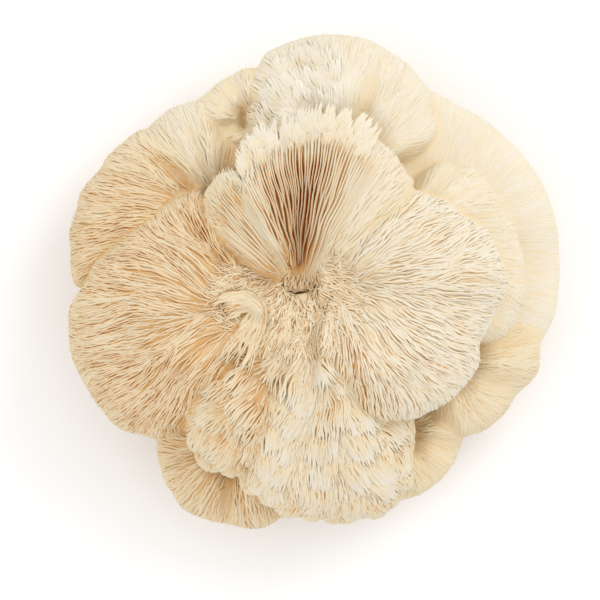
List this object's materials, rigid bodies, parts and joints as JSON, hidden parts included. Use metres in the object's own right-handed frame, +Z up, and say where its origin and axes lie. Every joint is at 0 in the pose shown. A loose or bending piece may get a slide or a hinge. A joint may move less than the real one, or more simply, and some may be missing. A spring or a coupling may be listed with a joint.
{
  "type": "lions mane mushroom",
  "caption": "Rounded fungus of overlapping toothed fans of pale flesh, cut off flat behind and resting on the cut with its face up.",
  "frame": {"origin": "middle of the flat cut base, where the fungus was cut from the wood it grew on", "axes": "+Z up from the cut through the face, +Y towards the side that grew uppermost, +X to the right seen from above the face"},
  "size_m": [0.1543, 0.1553, 0.0754],
  "materials": {
    "flesh": "matt, furry with soft teeth, cream with warmer brown between the teeth"
  },
  "bodies": {
    "root": {"fruiting_body": "flesh"}
  },
  "joints": []
}
